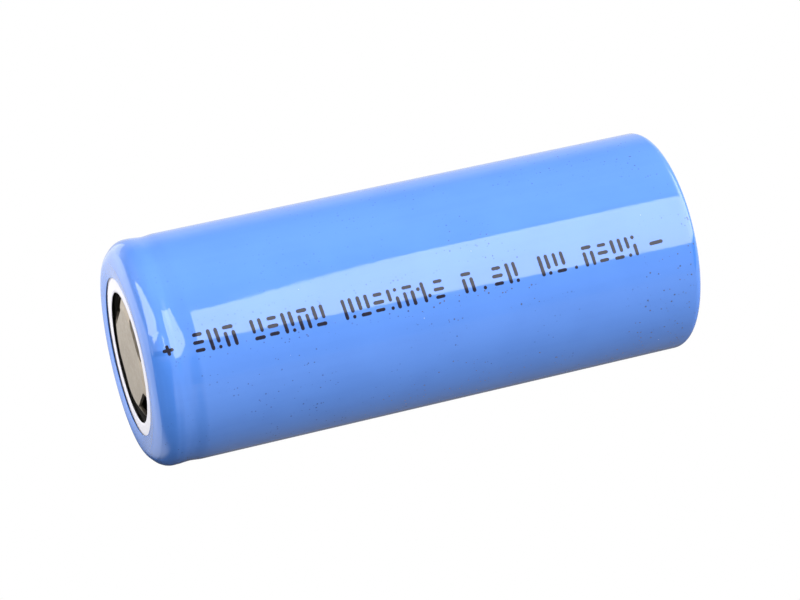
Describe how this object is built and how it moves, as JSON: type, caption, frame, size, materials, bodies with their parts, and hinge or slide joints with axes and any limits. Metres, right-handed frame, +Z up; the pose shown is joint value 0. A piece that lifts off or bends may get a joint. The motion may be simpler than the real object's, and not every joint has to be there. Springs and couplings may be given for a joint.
{
  "type": "cylindrical battery cell",
  "caption": "Cylindrical rechargeable cell: sleeved steel can with a crimped closure, vented flat cap, current interrupter and wound roll inside.",
  "frame": {"origin": "centre of the ring of sleeve that the cell stands on, under its negative end", "axes": "+Z up the cell's axis towards the positive cap; +X and +Y across the cell, with the cap's vent windows centred 17, 107, 197 and 287 degrees from +X towards +Y"},
  "size_m": [0.0262, 0.0262, 0.0655],
  "materials": {
    "blue_shrink_film": "gloss",
    "white_insulating_card": "matte",
    "nickel_plated_steel": "satin",
    "cap_plated_steel": "satin",
    "black_gasket_plastic": "matte",
    "ptc_polymer": "matte",
    "vent_aluminium": "satin",
    "tab_aluminium": "satin",
    "tab_nickel": "satin",
    "natural_insulator_plastic": "matte",
    "amber_tape": "gloss",
    "green_tape": "gloss",
    "cathode_coating": "matte",
    "anode_coating": "matte",
    "separator_film": "matte"
  },
  "bodies": {
    "body": {"sleeve": "blue_shrink_film", "insulating_washer": "white_insulating_card", "can": "nickel_plated_steel", "crimp_gasket": "black_gasket_plastic", "positive_cap": "cap_plated_steel", "ptc_ring": "ptc_polymer", "vent_disc": "vent_aluminium", "breaker_holder": "natural_insulator_plastic", "breaker_plate": "vent_aluminium", "positive_tab": "tab_aluminium", "positive_tab_tape": "amber_tape", "top_insulator": "natural_insulator_plastic", "cathode_sheet": "cathode_coating", "anode_sheet": "anode_coating", "separator_inner": "separator_film", "separator_outer": "separator_film", "roll_end_tape": "green_tape", "centre_pin": "nickel_plated_steel", "bottom_insulator": "natural_insulator_plastic", "negative_tab": "tab_nickel", "negative_tab_tape": "amber_tape"},
    "interrupter": {"vent_diaphragm": "vent_aluminium"}
  },
  "joints": [
    {"name": "interrupter_lift", "type": "slide", "parent": "body", "child": "interrupter", "axis": [0, 0, 1], "range_m": [0, 0.0005]}
  ]
}
